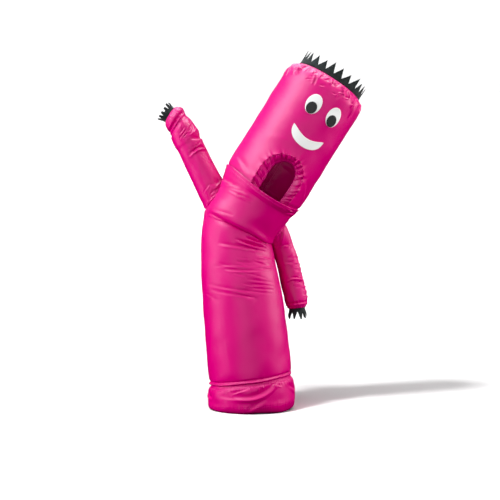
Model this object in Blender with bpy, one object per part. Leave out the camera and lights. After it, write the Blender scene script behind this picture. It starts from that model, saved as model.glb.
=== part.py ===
"""Inflatable air dancer costume: a bent tube of light polyester with two sleeves, standing on its hem.

The tube rises from the hem band, folds at the waist, leans to +X through the chest and ends in the
head tube, which has the face opening, the eyes, the smile and a zigzag strip of hair round its crown.
The front is -Y, up is +Z, the floor is z = 0, and every length is in metres. Each tube is a table of
cross-sections from one end to the other, skinned as an open sleeve of cloth and given its thickness.
"""

import math
from collections import namedtuple

import bmesh
import bpy
from mathutils import Vector

# Driving sizes.
CLOTH = 0.002              # wall of a cloth tube
PATCH = 0.0012             # an eye, pupil or smile, sewn flat onto the head
GAP = 0.0004               # air between two faces that are sewn together
LAP_GAP = 0.0026           # one wall and its air, where a tube tucks inside the next
MIDDLE_X = 0.0454          # from the drawing line of the hem to the middle of the figure
FACETS = 36                # sides of the big tube
SLEEVE_FACETS = 16         # sides of a sleeve
ROW_PITCH = 0.036          # most room between two rows of the big tube
SLEEVE_PITCH = 0.040       # the same on a sleeve
ARMHOLE_MARGIN = 0.003     # cloth left inside a sleeve's wall round its armhole
PUCKERS = FACETS // 2      # gathers round a puckered seam

# The head tube, whose own coordinates are an angle round it and a height up its axis.
HEAD_LEAN = 32.2           # degrees to +X
NECK_X = 0.052             # centre of the neck edge
NECK_Z = 0.8832
HEAD_RADIUS = 0.1705
RIM_HEIGHT = 0.492         # from the neck edge to the flat rim of the crown
FACE_TURN = 15.5           # degrees by which the face is turned round the tube towards +X
NECK_DIP = 0.026           # how far the neck edge sags under the face

# The face, measured round and up the head tube.
OPENING_TURN = 15.0        # degrees, middle of the face opening
OPENING_HALF = 0.0920      # half its width
OPENING_TOP = 0.150
EYE_TURN = 16.0            # degrees to either side of the face's middle
EYE_HEIGHT = 0.362
EYE_WIDTH = 0.061
EYE_TALL = 0.079
PUPIL_HEIGHT = 0.3455
PUPIL_WIDTH = 0.042
SMILE_HEIGHT = 0.262       # its two tips
SMILE_HALF = 0.069
SMILE_UPPER = 0.033        # sag of its upper line
SMILE_LOWER = 0.066        # sag of its lower line

PINK = "E5247F"
WHITE = "F4F4F4"
BLACK = "2A2D2C"

# One cross-section: its centre, lean, radius, and how deep a crease, a dip of the edge towards the
# face and the gathers of a seam are there. The crease is deepest at the angle crease_turn.
Section = namedtuple("Section", "x y z lean radius crease crease_turn dip pucker",
                     defaults=(0.0, 0.0, 0.0, 0.0))


def linear(hex_colour):
    """Linear red, green, blue and alpha of an sRGB hex colour."""
    channels = [int(hex_colour[i:i + 2], 16) / 255 for i in (0, 2, 4)]
    return [c / 12.92 if c <= 0.04045 else ((c + 0.055) / 1.055) ** 2.4 for c in channels] + [1.0]


def finish(name, hex_colour, roughness):
    """Material of one kind of cloth."""
    material = bpy.data.materials.new(name)
    material.use_nodes = True
    shader = material.node_tree.nodes["Principled BSDF"]
    shader.inputs["Base Color"].default_value = linear(hex_colour)
    shader.inputs["Roughness"].default_value = roughness
    return material


def smooth_slopes(places, values):
    """Slope of a value at each row, flat at its peaks, so that no curve swings past its rows."""
    rises = [(v1 - v0) / (p1 - p0)
             for p0, p1, v0, v1 in zip(places, places[1:], values, values[1:])]
    inner = [0.0 if a * b <= 0 else 2 * a * b / (a + b) for a, b in zip(rises, rises[1:])]
    return [rises[0]] + inner + [rises[-1]]


def eased(sections, pitch):
    """The rows of a table with more rows between them on smooth curves, at most a pitch apart."""
    places = [0.0]
    for a, b in zip(sections, sections[1:]):
        centres = math.dist((a.x, a.y, a.z), (b.x, b.y, b.z))
        places.append(places[-1] + max(centres, abs(b.radius - a.radius)))
    columns = [smooth_slopes(places, list(column)) for column in zip(*sections)]
    rows = []
    for i, (a, b) in enumerate(zip(sections, sections[1:])):
        span = places[i + 1] - places[i]
        steps = max(1, math.ceil(span / pitch))
        for step in range(steps):
            t = step / steps
            start, end = 2 * t ** 3 - 3 * t ** 2 + 1, 3 * t ** 2 - 2 * t ** 3
            leave, arrive = span * (t ** 3 - 2 * t ** 2 + t), span * (t ** 3 - t ** 2)
            rows.append(Section(*(start * p + end * q + leave * s[i] + arrive * s[i + 1]
                                  for p, q, s in zip(a, b, columns))))
    return rows + [sections[-1]]


def crease_reach(angle, turn):
    """How much of a crease is left at an angle: all of it near its middle, none opposite."""
    near = min(1.0, 1.35 * (1 + math.cos(angle - math.radians(turn))) / 2)
    return near * near * (3 - 2 * near)


def face_side(angle):
    """How far an angle faces the way the face does, from 1 at its middle to 0 at the sides."""
    return max(0.0, math.cos(angle + math.radians(90 - FACE_TURN))) ** 2


def axes(lean):
    """Unit vectors across and along a section that leans by so many degrees to +X."""
    turn = math.radians(lean)
    across = Vector((math.cos(turn), 0.0, -math.sin(turn)))
    along = Vector((math.sin(turn), 0.0, math.cos(turn)))
    return across, along


def wall_point(section, angle, grow=0.0):
    """A point of a section's outline. Angle 0 is its +X side and -90 degrees its front."""
    across, along = axes(section.lean)
    radius = section.radius + grow
    radius -= section.crease * crease_reach(angle, section.crease_turn)
    radius += section.pucker * math.cos(PUCKERS * angle)
    centre = Vector((section.x - MIDDLE_X, section.y, section.z))
    round_it = across * (radius * math.cos(angle)) + Vector((0.0, radius * math.sin(angle), 0.0))
    return centre + round_it - along * (section.dip * face_side(angle))


def new_object(name, mesh_maker, material=None):
    """An object whose mesh is what mesh_maker adds to an empty bmesh."""
    mesh = bpy.data.meshes.new(name)
    bm = bmesh.new()
    mesh_maker(bm)
    bm.to_mesh(mesh)
    bm.free()
    obj = bpy.data.objects.new(name, mesh)
    bpy.context.scene.collection.objects.link(obj)
    if material:
        mesh.materials.append(material)
        mesh.shade_smooth()
        mesh.set_sharp_from_angle(angle=math.radians(40))
    return obj


def skin(bm, sections, facets, grow=0.0, cap_ends=False, close_top=False):
    """Rings of points joined by four-sided faces, with flat ends or a closed top if asked for."""
    rings = []
    for section in sections:
        angles = [2 * math.pi * i / facets for i in range(facets)]
        rings.append([bm.verts.new(wall_point(section, angle, grow)) for angle in angles])
    for low, high in zip(rings, rings[1:]):
        for i in range(facets):
            j = (i + 1) % facets
            bm.faces.new((low[i], low[j], high[j], high[i]))
    if cap_ends:
        fan(bm, list(reversed(rings[0])))
    if cap_ends or close_top:
        fan(bm, rings[-1])


def fan(bm, ring):
    """Triangles from a ring to its middle."""
    middle = bm.verts.new(sum((vert.co for vert in ring), Vector()) / len(ring))
    for a, b in zip(ring, ring[1:] + ring[:1]):
        bm.faces.new((a, b, middle))


def thicken(obj, thickness=CLOTH):
    """Give a cloth its thickness, inwards from the surface that is drawn."""
    solidify = obj.modifiers.new("thickness", "SOLIDIFY")
    solidify.thickness = thickness
    solidify.offset = -1
    solidify.use_even_offset = True


def cloth_tube(name, sections, facets, material, close_top=False):
    """An open tube of cloth."""
    obj = new_object(name, lambda bm: skin(bm, sections, facets, close_top=close_top), material)
    thicken(obj)
    return obj


def make_cutter(obj):
    """Mark an object as a tool that only cuts or guides."""
    obj.hide_render = True
    obj.display_type = "WIRE"
    return obj


def plug(name, sections, facets, grow):
    """The filled form of a tube, larger all round by grow, for cutting."""
    plain = [section._replace(crease=0.0, pucker=0.0) for section in sections]
    return make_cutter(new_object(name, lambda bm: skin(bm, plain, facets, grow, cap_ends=True)))


def boolean(obj, cutter, operation="DIFFERENCE"):
    """Cut an object with another, or keep only what they share."""
    modifier = obj.modifiers.new(cutter.name, "BOOLEAN")
    modifier.operation = operation
    modifier.object = cutter


# The trunk and the chest, one tube of cloth from the hem seam to the neck edge. The waist crease
# runs round the inside of the bend and fades out on the side of the raised sleeve.
def trunk_sections():
    trunk = [
        #       x     y    z      lean   radius  crease turn dip  pucker
        Section(.0022, 0, .1170, -7.5, .1625, 0, 0, 0, .0020),
        Section(.0018, 0, .1290, -7.5, .1625, 0, 0, 0, .0020),
        Section(.0010, 0, .1390, -7.5, .1655, 0, 0, 0, .0008),
        Section(-.0020, 0, .1650, -7.0, .1668),
        Section(-.0128, 0, .2760, -5.0, .1650),
        Section(-.0252, 0, .4000, -3.0, .1610),
        Section(-.0396, 0, .5200, 0.0, .1560),
        Section(-.0480, 0, .6000, 3.0, .1475),
        Section(-.0530, 0, .6650, 8.0, .1430),
        Section(-.0490, 0, .7120, 21.0, .1455),
    ]
    fold = Section(-.0462, 0, .7235, 24.0, .1440, .016, -20)
    chest = [
        Section(-.0420, 0, .7370, 27.5, .1500),
        Section(-.0120, 0, .7816, 31.0, .1520),
        Section(.0200, 0, .8324, HEAD_LEAN, .1565),
    ]
    return trunk + [fold] + chest


def head_section(height, radius, dip=0.0, pucker=0.0):
    """A section of the head tube, or of what is fitted to it, at a height up its axis."""
    _, along = axes(HEAD_LEAN)
    return Section(NECK_X + along.x * height, 0.0, NECK_Z + along.z * height, HEAD_LEAN, radius,
                   dip=dip, pucker=pucker)


def body_sections():
    neck = [
        head_section(-.0300, .1635, NECK_DIP * 0.7),
        head_section(-.0140, .1680, NECK_DIP),
        head_section(.0000, .1695, NECK_DIP),
    ]
    return eased(trunk_sections() + neck, ROW_PITCH)


# The hem band: a second, fuller ring of cloth under a puckered seam. Its lower edge curls in and
# ends in a flat lip, on which the part stands.
def hem_sections():
    return [
        Section(.0068, 0, .0, 0.0, .1440),
        Section(.0068, 0, .0, 0.0, .1620),
        Section(.0068, 0, .0035, -0.5, .1660),
        Section(.0068, 0, .0130, -2.4, .1715),
        Section(.0066, 0, .0310, -4.0, .1745),
        Section(.0054, 0, .0560, -5.5, .1745),
        Section(.0040, 0, .0840, -6.5, .1722, pucker=.0006),
        Section(.0030, 0, .1040, -7.0, .1665, pucker=.0012),
        Section(.0024, 0, .1130, -7.5, .1625 - LAP_GAP, pucker=.0020),
        Section(.0016, 0, .1310, -7.5, .1625 - LAP_GAP, pucker=.0020),
    ]


# The head tube tucks inside the neck edge, swells to its full width and rounds over to a flat rim.
def head_sections():
    return eased([
        head_section(-.0120, .1683 - LAP_GAP, NECK_DIP),
        head_section(.0000, .1695 - LAP_GAP, NECK_DIP),
        head_section(.0120, .1695, NECK_DIP * 0.9),
        head_section(.0500, HEAD_RADIUS, NECK_DIP * 0.4),
        head_section(.1000, HEAD_RADIUS),
        head_section(.3800, HEAD_RADIUS),
        head_section(.4350, .1700),
        head_section(.4580, .1660),
        head_section(.4740, .1570, pucker=.0006),
        head_section(.4860, .1470, pucker=.0008),
        head_section(RIM_HEIGHT, .1400),
        head_section(RIM_HEIGHT, .1280),
    ], ROW_PITCH * 1.6)


# The crown: a round of cloth that closes the head tube, lying on its flat rim and a little domed.
def crown_sections():
    seat = RIM_HEIGHT + GAP + CLOTH
    return [
        head_section(seat, .1365),
        head_section(seat, .1300),
        head_section(seat + .0080, .1100),
        head_section(seat + .0160, .0600),
    ]


# The sleeves. The raised one is folded over on its upper side and bunches into a collar where it
# bends at the wrist; the lowered one hangs beside the trunk, a little behind its side.
def raised_sections():
    return [
        Section(-.1040, 0, .7760, -26.0, .0585),
        Section(-.1412, 0, .8508, -26.0, .0585),
        Section(-.1800, 0, .9280, -26.5, .0555),
        Section(-.2160, 0, 1.0000, -27.0, .0540),
        Section(-.2420, 0, 1.0540, -27.5, .0535, .0110, 0),
        Section(-.2475, 0, 1.0640, -29.0, .0560),
        Section(-.2740, 0, 1.1140, -42.0, .0545),
        Section(-.2850, 0, 1.1320, -56.0, .0500),
        Section(-.2960, 0, 1.1510, -58.0, .0540),
        Section(-.3110, 0, 1.1655, -57.5, .0460),
        Section(-.3200, 0, 1.1712, -57.5, .0350),
    ]


def lowered_sections():
    return [
        Section(.0800, .012, .7440, 152.0, .0465),
        Section(.1080, .022, .7000, 155.0, .0465),
        Section(.1360, .048, .6320, 162.0, .0450),
        Section(.1580, .054, .5600, 166.0, .0460),
        Section(.1660, .055, .5240, 167.0, .0465, .0035, 180),
        Section(.1740, .055, .4920, 167.0, .0478),
        Section(.1850, .053, .4440, 168.0, .0465),
        Section(.1885, .052, .4150, 173.0, .0430),
        Section(.1895, .052, .3980, 175.0, .0350),
    ]


def toothed_strip(bm, low, high, teeth, tooth_height, unevenness, tip_share=0.0):
    """A strip round a tube whose upper edge is cut into a ring of teeth of uneven height.

    low and high are the sections at its two edges. A tooth's end is tip_share of its root's width.
    """
    _, along = axes(high.lean)
    pitch = 2 * math.pi / teeth
    bottom = [bm.verts.new(wall_point(low, pitch * i)) for i in range(teeth)]
    valley = [bm.verts.new(wall_point(high, pitch * i)) for i in range(teeth)]
    flare = high.radius - low.radius
    for i in range(teeth):
        j = (i + 1) % teeth
        rise = along * (tooth_height * (1 + unevenness * math.cos(2.1 * i)))
        half_tip = pitch * tip_share / 2
        ends = [half_tip, -half_tip] if tip_share else [0.0]
        tip = [bm.verts.new(wall_point(high, pitch * (i + 0.5) + end, flare) + rise) for end in ends]
        bm.faces.new((bottom[i], bottom[j], valley[j], valley[i]))
        bm.faces.new([valley[i], valley[j]] + tip)


def cuff(name, sleeve, material, teeth=10, depth=.016, tooth_height=.024):
    """A black elastic cuff held inside a sleeve's end, with blunt tabs round its free edge."""
    end = sleeve[-1]
    _, along = axes(end.lean)
    tuck = along * -0.006
    reach = along * (depth - 0.006)
    radius = end.radius - LAP_GAP - 0.0006
    low = end._replace(x=end.x + tuck.x, z=end.z + tuck.z, radius=radius)
    high = end._replace(x=end.x + reach.x, z=end.z + reach.z, radius=radius + 0.0012)
    obj = new_object(name, lambda bm: toothed_strip(bm, low, high, teeth, tooth_height, 0.14, 0.4),
                     material)
    thicken(obj)


def hair_strip(material, teeth=24, depth=.013, tooth_height=.034):
    """The hair: a felt strip that stands on the head's rim, outside the crown's edge."""
    low = head_section(RIM_HEIGHT + GAP, .1400)
    high = head_section(RIM_HEIGHT + GAP + depth, .1385)
    obj = new_object("hair_fringe",
                     lambda bm: toothed_strip(bm, low, high, teeth, tooth_height, 0.10), material)
    thicken(obj)


def head_point(turn, height, radius):
    """A point by its angle from the front towards +X, its height up the head, and its radius."""
    return wall_point(head_section(height, radius), math.radians(turn - 90))


def prism(name, turn, height, outline):
    """A cutter that runs radially through the head's wall: outline is across and up, in metres."""
    _, up = axes(HEAD_LEAN)
    inner = head_point(turn, height, HEAD_RADIUS * 0.8)
    outer = head_point(turn, height, HEAD_RADIUS * 1.3)
    side = up.cross(outer - inner).normalized()

    def fill(bm):
        low = [bm.verts.new(inner + side * across + up * rise) for across, rise in outline]
        high = [bm.verts.new(outer + side * across + up * rise) for across, rise in outline]
        for i in range(len(outline)):
            j = (i + 1) % len(outline)
            bm.faces.new((low[i], low[j], high[j], high[i]))
        bm.faces.new(list(reversed(low)))
        bm.faces.new(high)

    return make_cutter(new_object(name, fill))


def oval(width, height, points=22):
    """An oval outline about its middle."""
    angles = [2 * math.pi * i / points for i in range(points)]
    return [(width / 2 * math.cos(angle), height / 2 * math.sin(angle)) for angle in angles]


def crescent(half, upper, lower, points=11):
    """A smile's outline with its tips at height 0 and its two lines sagging below them."""
    places = [-1 + 2 * i / (points - 1) for i in range(points)]
    tip = half * 0.07
    under = [(half * p, -lower * (1 - p * p) ** 0.75 - tip) for p in places]
    over = [(half * p * 0.955, -upper * (1 - p * p) + tip) for p in reversed(places)]
    return under + over


def arch(half, top, foot, points=12):
    """A doorway's outline: straight sides up from foot and a round top."""
    spring = top - half
    angles = [math.pi * i / points for i in range(points + 1)]
    curve = [(half * math.cos(angle), spring + half * math.sin(angle)) for angle in angles]
    return [(half, foot)] + curve + [(-half, foot)]


def patch(name, turn, height, outline, lift, material):
    """A flat piece sewn onto the head tube, so that it follows the tube's own surface."""
    below, above = RIM_HEIGHT * 0.28, RIM_HEIGHT * 0.9
    reach = [head_section(h, HEAD_RADIUS) for h in (below, SMILE_HEIGHT, above)]
    obj = new_object(name, lambda bm: skin(bm, reach, FACETS, lift + PATCH), material)
    thicken(obj, PATCH)
    boolean(obj, prism(name + "_outline", turn, height, outline), "INTERSECT")


def face_patches(white, black):
    """Two eyes with their pupils, and the smile."""
    for side, sign in (("left", -1), ("right", 1)):
        turn = FACE_TURN + sign * EYE_TURN
        patch(f"eye_white_{side}", turn, EYE_HEIGHT, oval(EYE_WIDTH, EYE_TALL), GAP, white)
        patch(f"pupil_{side}", turn, PUPIL_HEIGHT, oval(PUPIL_WIDTH, PUPIL_WIDTH),
              2 * GAP + PATCH, black)
    patch("smile", FACE_TURN, SMILE_HEIGHT, crescent(SMILE_HALF, SMILE_UPPER, SMILE_LOWER), GAP, white)


# The gathered edging of the face opening: a strip of cloth sewn behind the edge of the opening and
# drawn inwards by elastic, in puffs, to the smaller hole in its middle. It is broad on the -X side
# and narrows to the other.
RUFFLE_TURN = 17.0         # degrees, the middle of its hole
RUFFLE_HOLE = 0.0640       # half the hole's width
RUFFLE_HOLE_TOP = 0.128
RUFFLE_FOOT = -0.0360      # height of its two ends, hidden behind the neck edge
RUFFLE_INSET = 0.0040      # how far under the head's wall its outer edge is
RUFFLE_DEPTH = 0.0240      # how deep its inner edge lies
RUFFLE_TUCK = 0.0045       # how far its ends draw in to pass behind the neck edge
TUCK_START = 0.0300        # height where they begin to
PUFF_DEPTH = 0.0044        # from a puff to the gather beside it
PUFF_REACH = 0.0015        # the same along its inner edge
PUFFS = 17


def opening_outline(half, top, foot, share):
    """A place on a doorway's edge, at a share of the way up one side, over and down the other."""
    spring = top - half
    straight = spring - foot
    way = (2 * straight + math.pi * half) * share
    if way < straight:
        return -half, foot + way
    if way > straight + math.pi * half:
        return half, foot + 2 * straight + math.pi * half - way
    turn = math.pi - (way - straight) / half
    return half * math.cos(turn), spring + half * math.sin(turn)


def ruffle(material, steps=PUFFS * 4, rows=4):
    """The ruffle's sheet, from its outer edge under the head's wall to its inner edge."""
    outer_radius = HEAD_RADIUS * math.cos(math.pi / FACETS) - CLOTH - 2 * GAP

    def fill(bm):
        strips = []
        for i in range(steps + 1):
            share = i / steps
            outer = opening_outline(OPENING_HALF + RUFFLE_INSET, OPENING_TOP + RUFFLE_INSET,
                                    RUFFLE_FOOT, share)
            inner = opening_outline(RUFFLE_HOLE, RUFFLE_HOLE_TOP, RUFFLE_FOOT, share)
            outer_turn = OPENING_TURN + math.degrees(outer[0] / HEAD_RADIUS)
            inner_turn = RUFFLE_TURN + math.degrees(inner[0] / HEAD_RADIUS)
            gather = (1 - math.cos(2 * math.pi * PUFFS * share)) / 2
            strip = []
            for row in range(rows):
                t = row / (rows - 1)
                turn = outer_turn + (inner_turn - outer_turn) * t
                height = outer[1] + (inner[1] - outer[1]) * t - PUFF_REACH * gather * t
                below = (TUCK_START - height) / (TUCK_START - RUFFLE_FOOT)
                sink = RUFFLE_DEPTH * t ** 1.6 + PUFF_DEPTH * gather * math.sin(math.pi * t)
                sink += RUFFLE_TUCK * min(1.0, max(0.0, below))
                strip.append(bm.verts.new(head_point(turn, height, outer_radius - sink)))
            strips.append(strip)
        for left, right in zip(strips, strips[1:]):
            for row in range(rows - 1):
                bm.faces.new((left[row], left[row + 1], right[row + 1], right[row]))

    obj = new_object("face_ruffle", fill, material)
    thicken(obj)


def clear_scene():
    for obj in list(bpy.data.objects):
        bpy.data.objects.remove(obj, do_unlink=True)


def build():
    clear_scene()
    pink = finish("pink polyester", PINK, 0.42)
    white = finish("white polyester", WHITE, 0.60)
    black = finish("black felt", BLACK, 0.85)

    body_rows, head_rows = body_sections(), head_sections()
    raised = eased(raised_sections(), SLEEVE_PITCH)
    lowered = eased(lowered_sections(), SLEEVE_PITCH)

    body = cloth_tube("body", body_rows, FACETS, pink)
    cloth_tube("hem_band", hem_sections(), FACETS, pink)
    head = cloth_tube("head_tube", head_rows, FACETS, pink)
    cloth_tube("crown", crown_sections(), FACETS, pink, close_top=True)

    body_plug = plug("body_form", body_rows, FACETS, GAP)
    for name, rows in (("raised", raised), ("lowered", lowered)):
        sleeve = cloth_tube(f"sleeve_{name}", rows, SLEEVE_FACETS, pink)
        boolean(sleeve, body_plug)
        armhole = plug(f"armhole_{name}", rows[:4], SLEEVE_FACETS, -CLOTH - ARMHOLE_MARGIN)
        boolean(body, armhole)
        cuff(f"cuff_{name}", rows, black)

    opening = arch(OPENING_HALF, OPENING_TOP, -2 * NECK_DIP)
    boolean(head, prism("face_opening", OPENING_TURN, 0.0, opening))
    ruffle(pink)
    hair_strip(black)
    face_patches(white, black)


build()
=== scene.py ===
"""The looks of an inflatable air dancer costume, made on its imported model.

The costume is a bent tube of pink polyester taffeta with two sleeves, a face opening, felt hair and
a sewn-on smile, held out by the air inside it. Every length is in metres, the front is -Y and the
floor is z = 0.
"""

import math
from collections import namedtuple

import bpy
import numpy as np
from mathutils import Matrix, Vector
from mathutils.bvhtree import BVHTree


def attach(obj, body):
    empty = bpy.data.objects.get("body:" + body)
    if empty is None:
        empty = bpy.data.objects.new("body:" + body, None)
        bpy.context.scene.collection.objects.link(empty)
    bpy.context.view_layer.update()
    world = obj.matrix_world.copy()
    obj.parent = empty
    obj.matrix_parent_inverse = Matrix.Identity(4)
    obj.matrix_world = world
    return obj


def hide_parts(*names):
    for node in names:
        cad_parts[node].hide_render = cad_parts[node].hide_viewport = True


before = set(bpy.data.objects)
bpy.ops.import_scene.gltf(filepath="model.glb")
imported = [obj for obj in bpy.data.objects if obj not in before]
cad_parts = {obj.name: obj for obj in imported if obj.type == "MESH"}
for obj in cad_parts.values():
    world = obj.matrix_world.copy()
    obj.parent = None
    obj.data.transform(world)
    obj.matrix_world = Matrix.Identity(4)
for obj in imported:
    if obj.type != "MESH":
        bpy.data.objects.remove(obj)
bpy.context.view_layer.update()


# Camera: level, at hip height and well back, so the tall figure is seen without leaning lines.
MIDDLE_X = 0.0454          # from the middle of the hem to the middle of the whole figure
bpy.ops.object.camera_add(location=(-MIDDLE_X, -4.0, 0.632), rotation=(math.pi / 2, 0, 0))
camera = bpy.context.object
camera.data.lens = 72
camera.data.sensor_width = 36
bpy.context.scene.camera = camera
grade = bpy.context.scene.view_settings       # its darkest tones are taken down a little
grade.view_transform = "Standard"
grade.use_curve_mapping = True
grade.curve_mapping.black_level = (0.005, 0.005, 0.005)
grade.curve_mapping.update()


# Studio: white paper with two lights of its own, and other lights for the figure alone: big soft ones
# high on the left and above, and ones without highlights low down, on the right and behind, so that
# the tubes are brightest at their upper left and darkest right of their middle.
def table(kind, *rows):
    """The rows of a table, each with its columns named."""
    return [kind(*row) for row in rows]


def linear(hex_colour):
    """Linear red, green, blue and alpha of an sRGB hex colour."""
    channels = [int(hex_colour[i:i + 2], 16) / 255 for i in (0, 2, 4)]
    return [c / 12.92 if c <= 0.04045 else ((c + 0.055) / 1.055) ** 2.4 for c in channels] + [1.0]


def new_material(name, roughness, specular):
    """A material, with its nodes and the inputs of its shader."""
    material = bpy.data.materials.new(name)
    material.use_nodes = True
    shader = material.node_tree.nodes["Principled BSDF"]
    shader.inputs["Roughness"].default_value = roughness
    shader.inputs["Specular IOR Level"].default_value = specular
    return material, material.node_tree, shader.inputs


def add_light(kind, name, power, place=(0, 0, 0), way=(0, 0, -1)):
    """A light of a power in watts (a sun's in watts on each square metre), shining one way."""
    bpy.ops.object.light_add(type=kind, location=place,
                             rotation=Vector(way).to_track_quat("-Z", "Y").to_euler())
    light = bpy.context.object
    light.name = name
    light.data.energy = power
    return light


# A wide strip of paper lies on the floor and sweeps up behind the figure. It takes the figure's shadow,
# but none of its light falls back on the figure. Its first rows lie flat and its last stand upright.
PAPER_WIDTH, PAPER_FRONT, PAPER_BACK, PAPER_SWEEP, PAPER_TOP = 24.0, -1.8, 5.0, 2.5, 9.0
PAPER_ROWS, PAPER_PLAIN = 40, 2
bpy.ops.object.select_all(action="DESELECT")
bpy.ops.mesh.primitive_grid_add(x_subdivisions=1, y_subdivisions=PAPER_ROWS, size=1)
floor = bpy.context.object
floor.name = "studio_paper"
for vertex in floor.data.vertices:
    row = round((vertex.co.y + 0.5) * PAPER_ROWS)
    turn = math.radians(min(90, max(0, (row - PAPER_PLAIN) * 90 / (PAPER_ROWS - 2 * PAPER_PLAIN))))
    y = PAPER_FRONT if row < PAPER_PLAIN else PAPER_BACK + PAPER_SWEEP * math.sin(turn)
    z = PAPER_TOP if row > PAPER_ROWS - PAPER_PLAIN else PAPER_SWEEP * (1 - math.cos(turn))
    vertex.co = (vertex.co.x * PAPER_WIDTH, y, z)
bpy.ops.object.shade_smooth()
paper, tree, shader = new_material("matt studio paper", 0.9, 0.1)
shader["Base Color"].default_value = linear("FAFAFA")
floor.data.materials.append(paper)
floor.visible_glossy = False       # the figure is lit by its own lights alone
floor.visible_diffuse = False

sky = bpy.data.worlds.new("studio sky")
sky.use_nodes = True
sky.node_tree.nodes["Background"].inputs["Color"].default_value = linear("FFFFFF")
sky.node_tree.nodes["Background"].inputs["Strength"].default_value = 1.1
sky.cycles_visibility.diffuse = False      # a white room beyond the paper, which lights nothing
sky.cycles_visibility.glossy = False
bpy.context.scene.world = sky

# Two even lights fall on the paper alone, so that it is as pale far off as it is near the figure: one
# from all round, and one from the left that throws the figure's soft shadow.
PaperLight = namedtuple("PaperLight", "name way power spread")
PAPER_LIGHTS = table(
    PaperLight,
    ("paper_round", (0.0, 1.0, -1.0), 2.9, 90),
    ("paper_shadow", (0.42, 0.45, -0.79), 2.9, 9),
)
only_paper = bpy.data.collections.new("only_paper")
only_paper.objects.link(floor)
for lamp in PAPER_LIGHTS:
    light = add_light("SUN", lamp.name, lamp.power, way=lamp.way)
    light.data.angle = math.radians(lamp.spread)
    light.light_linking.receiver_collection = only_paper
all_but_paper = bpy.data.collections.new("all_but_paper")
all_but_paper.objects.link(floor)
all_but_paper.collection_objects[0].light_linking.link_state = "EXCLUDE"

# mirrored is whether the cloth shows a highlight of the light, as well as being lit by it.
StudioLight = namedtuple("StudioLight", "name place aim size power colour mirrored",
                         defaults=("FFFFFF", False))
STUDIO_LIGHTS = table(
    StudioLight,
    ("key", (-2.3, -1.8, 3.0), (0, 0, 0.8), 2.4, 84, "F0F8FF", True),
    ("high_left", (-1.8, -0.6, 3.2), (0, 0, 1.0), 1.6, 30, "F0F8FF", True),
    ("overhead", (-0.3, 0.5, 3.2), (0.1, 0, 1.0), 1.6, 50, "F0F8FF", True),
    ("left", (-3.0, -0.6, 1.2), (0, 0, 0.7), 2.4, 16, "F0F8FF", True),
    ("top", (1.2, -0.3, 3.0), (0.1, 0, 1.0), 1.2, 48, "FFFFFF", True),
    ("edge", (3.0, 0.5, 1.3), (0, 0, 0.7), 0.9, 18, "FFFFFF", True),
    ("right", (3.0, -0.3, 0.8), (0, 0, 0.5), 1.6, 64),
    ("fill", (2.2, -2.6, 1.6), (0, 0, 0.7), 1.6, 43),
    ("low_left", (-3.0, -0.8, 0.5), (0, 0, 0.5), 1.6, 110),
    ("low_front", (-0.4, -3.6, 0.5), (0, 0, 0.5), 2.4, 47),
    ("back_left", (-2.2, 2.6, 1.8), (0, 0, 0.7), 2.0, 60),
    ("back_right", (2.2, 2.6, 1.8), (0, 0, 0.7), 2.0, 60),
)
for lamp in STUDIO_LIGHTS:
    light = add_light("AREA", lamp.name, lamp.power, lamp.place, Vector(lamp.aim) - Vector(lamp.place))
    light.data.size = lamp.size
    light.data.color = linear(lamp.colour)[:3]
    light.visible_camera = False
    light.visible_glossy = lamp.mirrored
    light.light_linking.receiver_collection = all_but_paper


# Some of the light passes through the thin cloth, so the inside of the head isn't quite dark.
glow = add_light("POINT", "light_through_the_cloth", 0.13, (0.090, 0.020, 1.020))
glow.data.shadow_soft_size = 0.06
glow.visible_camera = False
glow.visible_glossy = False


# Trunk and chest: one length of polyester taffeta from the hem seam to the neck edge, cut flat and
# sewn up its back. The air holds it out, and where the figure bends it folds over on itself at the
# waist, with smaller creases in the slack cloth below.
CLOTH = 0.0010             # how thick the taffeta is drawn, which is really about 0.1 mm thick
HEAD_LEAN = 32.2           # degrees to +X
NECK_X = 0.052             # centre of the neck edge
NECK_Z = 0.8832
NECK_DIP = 0.026           # how far the neck edge sags under the face
NECK_HEM = 0.012           # how far the cloth is turned in and stitched down at the neck edge
FACE_TURN = 15.5           # degrees from the front to the middle of the face
PUCKER_REACH = 0.030       # how far from a seam its puckers run
WAIST_CREASE = 0.7235      # height of the fold at the waist, on the tube's middle line

PINK, DEEP_PINK, THREAD = "C6046D", "BA0065", "E2408F"

# One ring of a tube: its centre, lean, radius, how far it dips towards the face.
Ring = namedtuple("Ring", "x y z lean radius dip", defaults=(0.0,))

# A crease (a ridge where its depth is negative) between two places on the cloth, in degrees from the
# front and metres up it. bow pushes its middle up, width is to either side, and lip is how much of its
# depth stands up under it.
Crease = namedtuple("Crease", "turn up turn_end up_end bow width depth lip", defaults=(0.6,))

# Small creases strewn within turn_reach and up_reach of a place, each with about half to all of this
# length, width and depth, and rising by tilt for each metre.
Strewn = namedtuple("Strewn", "turn up turn_reach up_reach tilt length width depth count seed")

# Uneven pleats beside a sewn edge: how many go round a tube of this radius, the height and length of
# the largest, and how far they slant.
Pleats = namedtuple("Pleats", "radius count seed height length slant", defaults=(0.0,))

# A narrow row beside a seam that stands out, or is drawn in where its height is negative.
Welt = namedtuple("Welt", "way width height")

# How far up the cloth a row of its points lies, so that rows can be closer together where it creases.
RowStop = namedtuple("RowStop", "row up")

# Where a sleeve is sewn into the body: a circle's centre, its lean and its radius.
Armhole = namedtuple("Armhole", "x y z lean radius")
ARMHOLES = table(Armhole, (-.1412, 0, .8508, -26, .0585), (.1200, .030, .6720, 158, .0455))


def head_ring(height, radius, dip=0):
    """A ring of the head tube, or of what is fitted to it, at a height up its middle line."""
    lean = math.radians(HEAD_LEAN)
    return Ring(NECK_X + math.sin(lean) * height, 0.0, NECK_Z + math.cos(lean) * height,
                HEAD_LEAN, radius, dip)


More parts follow.
